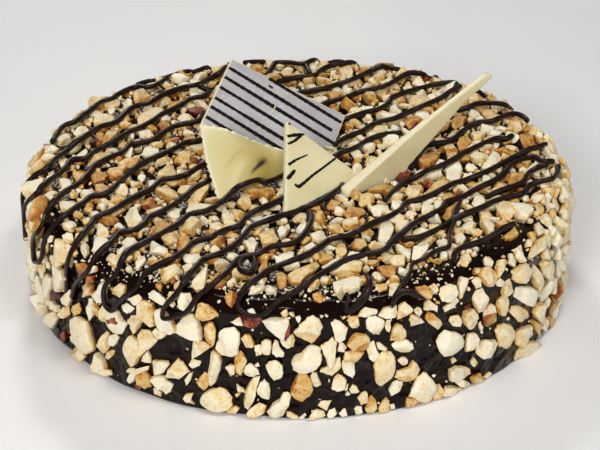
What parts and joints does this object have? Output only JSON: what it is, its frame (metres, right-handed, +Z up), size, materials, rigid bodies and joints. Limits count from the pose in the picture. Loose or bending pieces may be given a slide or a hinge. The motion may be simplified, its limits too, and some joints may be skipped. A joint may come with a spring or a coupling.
{
  "type": "truffle cake",
  "caption": "Round glazed truffle cake coated with chopped nuts, with chocolate lines and flat chocolate pieces standing on top.",
  "frame": {"origin": "middle of the cake's flat base", "axes": "+Z up, -Y towards the front of the cake, where the coat is thinnest at the rim"},
  "size_m": [0.2097, 0.2099, 0.0765],
  "materials": {
    "dark_glaze": "mirror-glossy dark chocolate glaze",
    "side_nuts": "chopped cream nuts, matt",
    "top_nuts": "chopped roasted nuts, slightly oily",
    "striped_plaque": "satin printed chocolate with dark stripes",
    "lined_triangle": "satin white chocolate with dark lines",
    "white_shard": "satin white chocolate",
    "white_fan": "satin white chocolate"
  },
  "bodies": {
    "root": {"glazed_cake": "dark_glaze", "side_nut_coat": "side_nuts", "top_nut_layer": "top_nuts", "striped_plaque": "striped_plaque", "lined_triangle": "lined_triangle", "white_shard": "white_shard", "white_fan": "white_fan"}
  },
  "joints": []
}
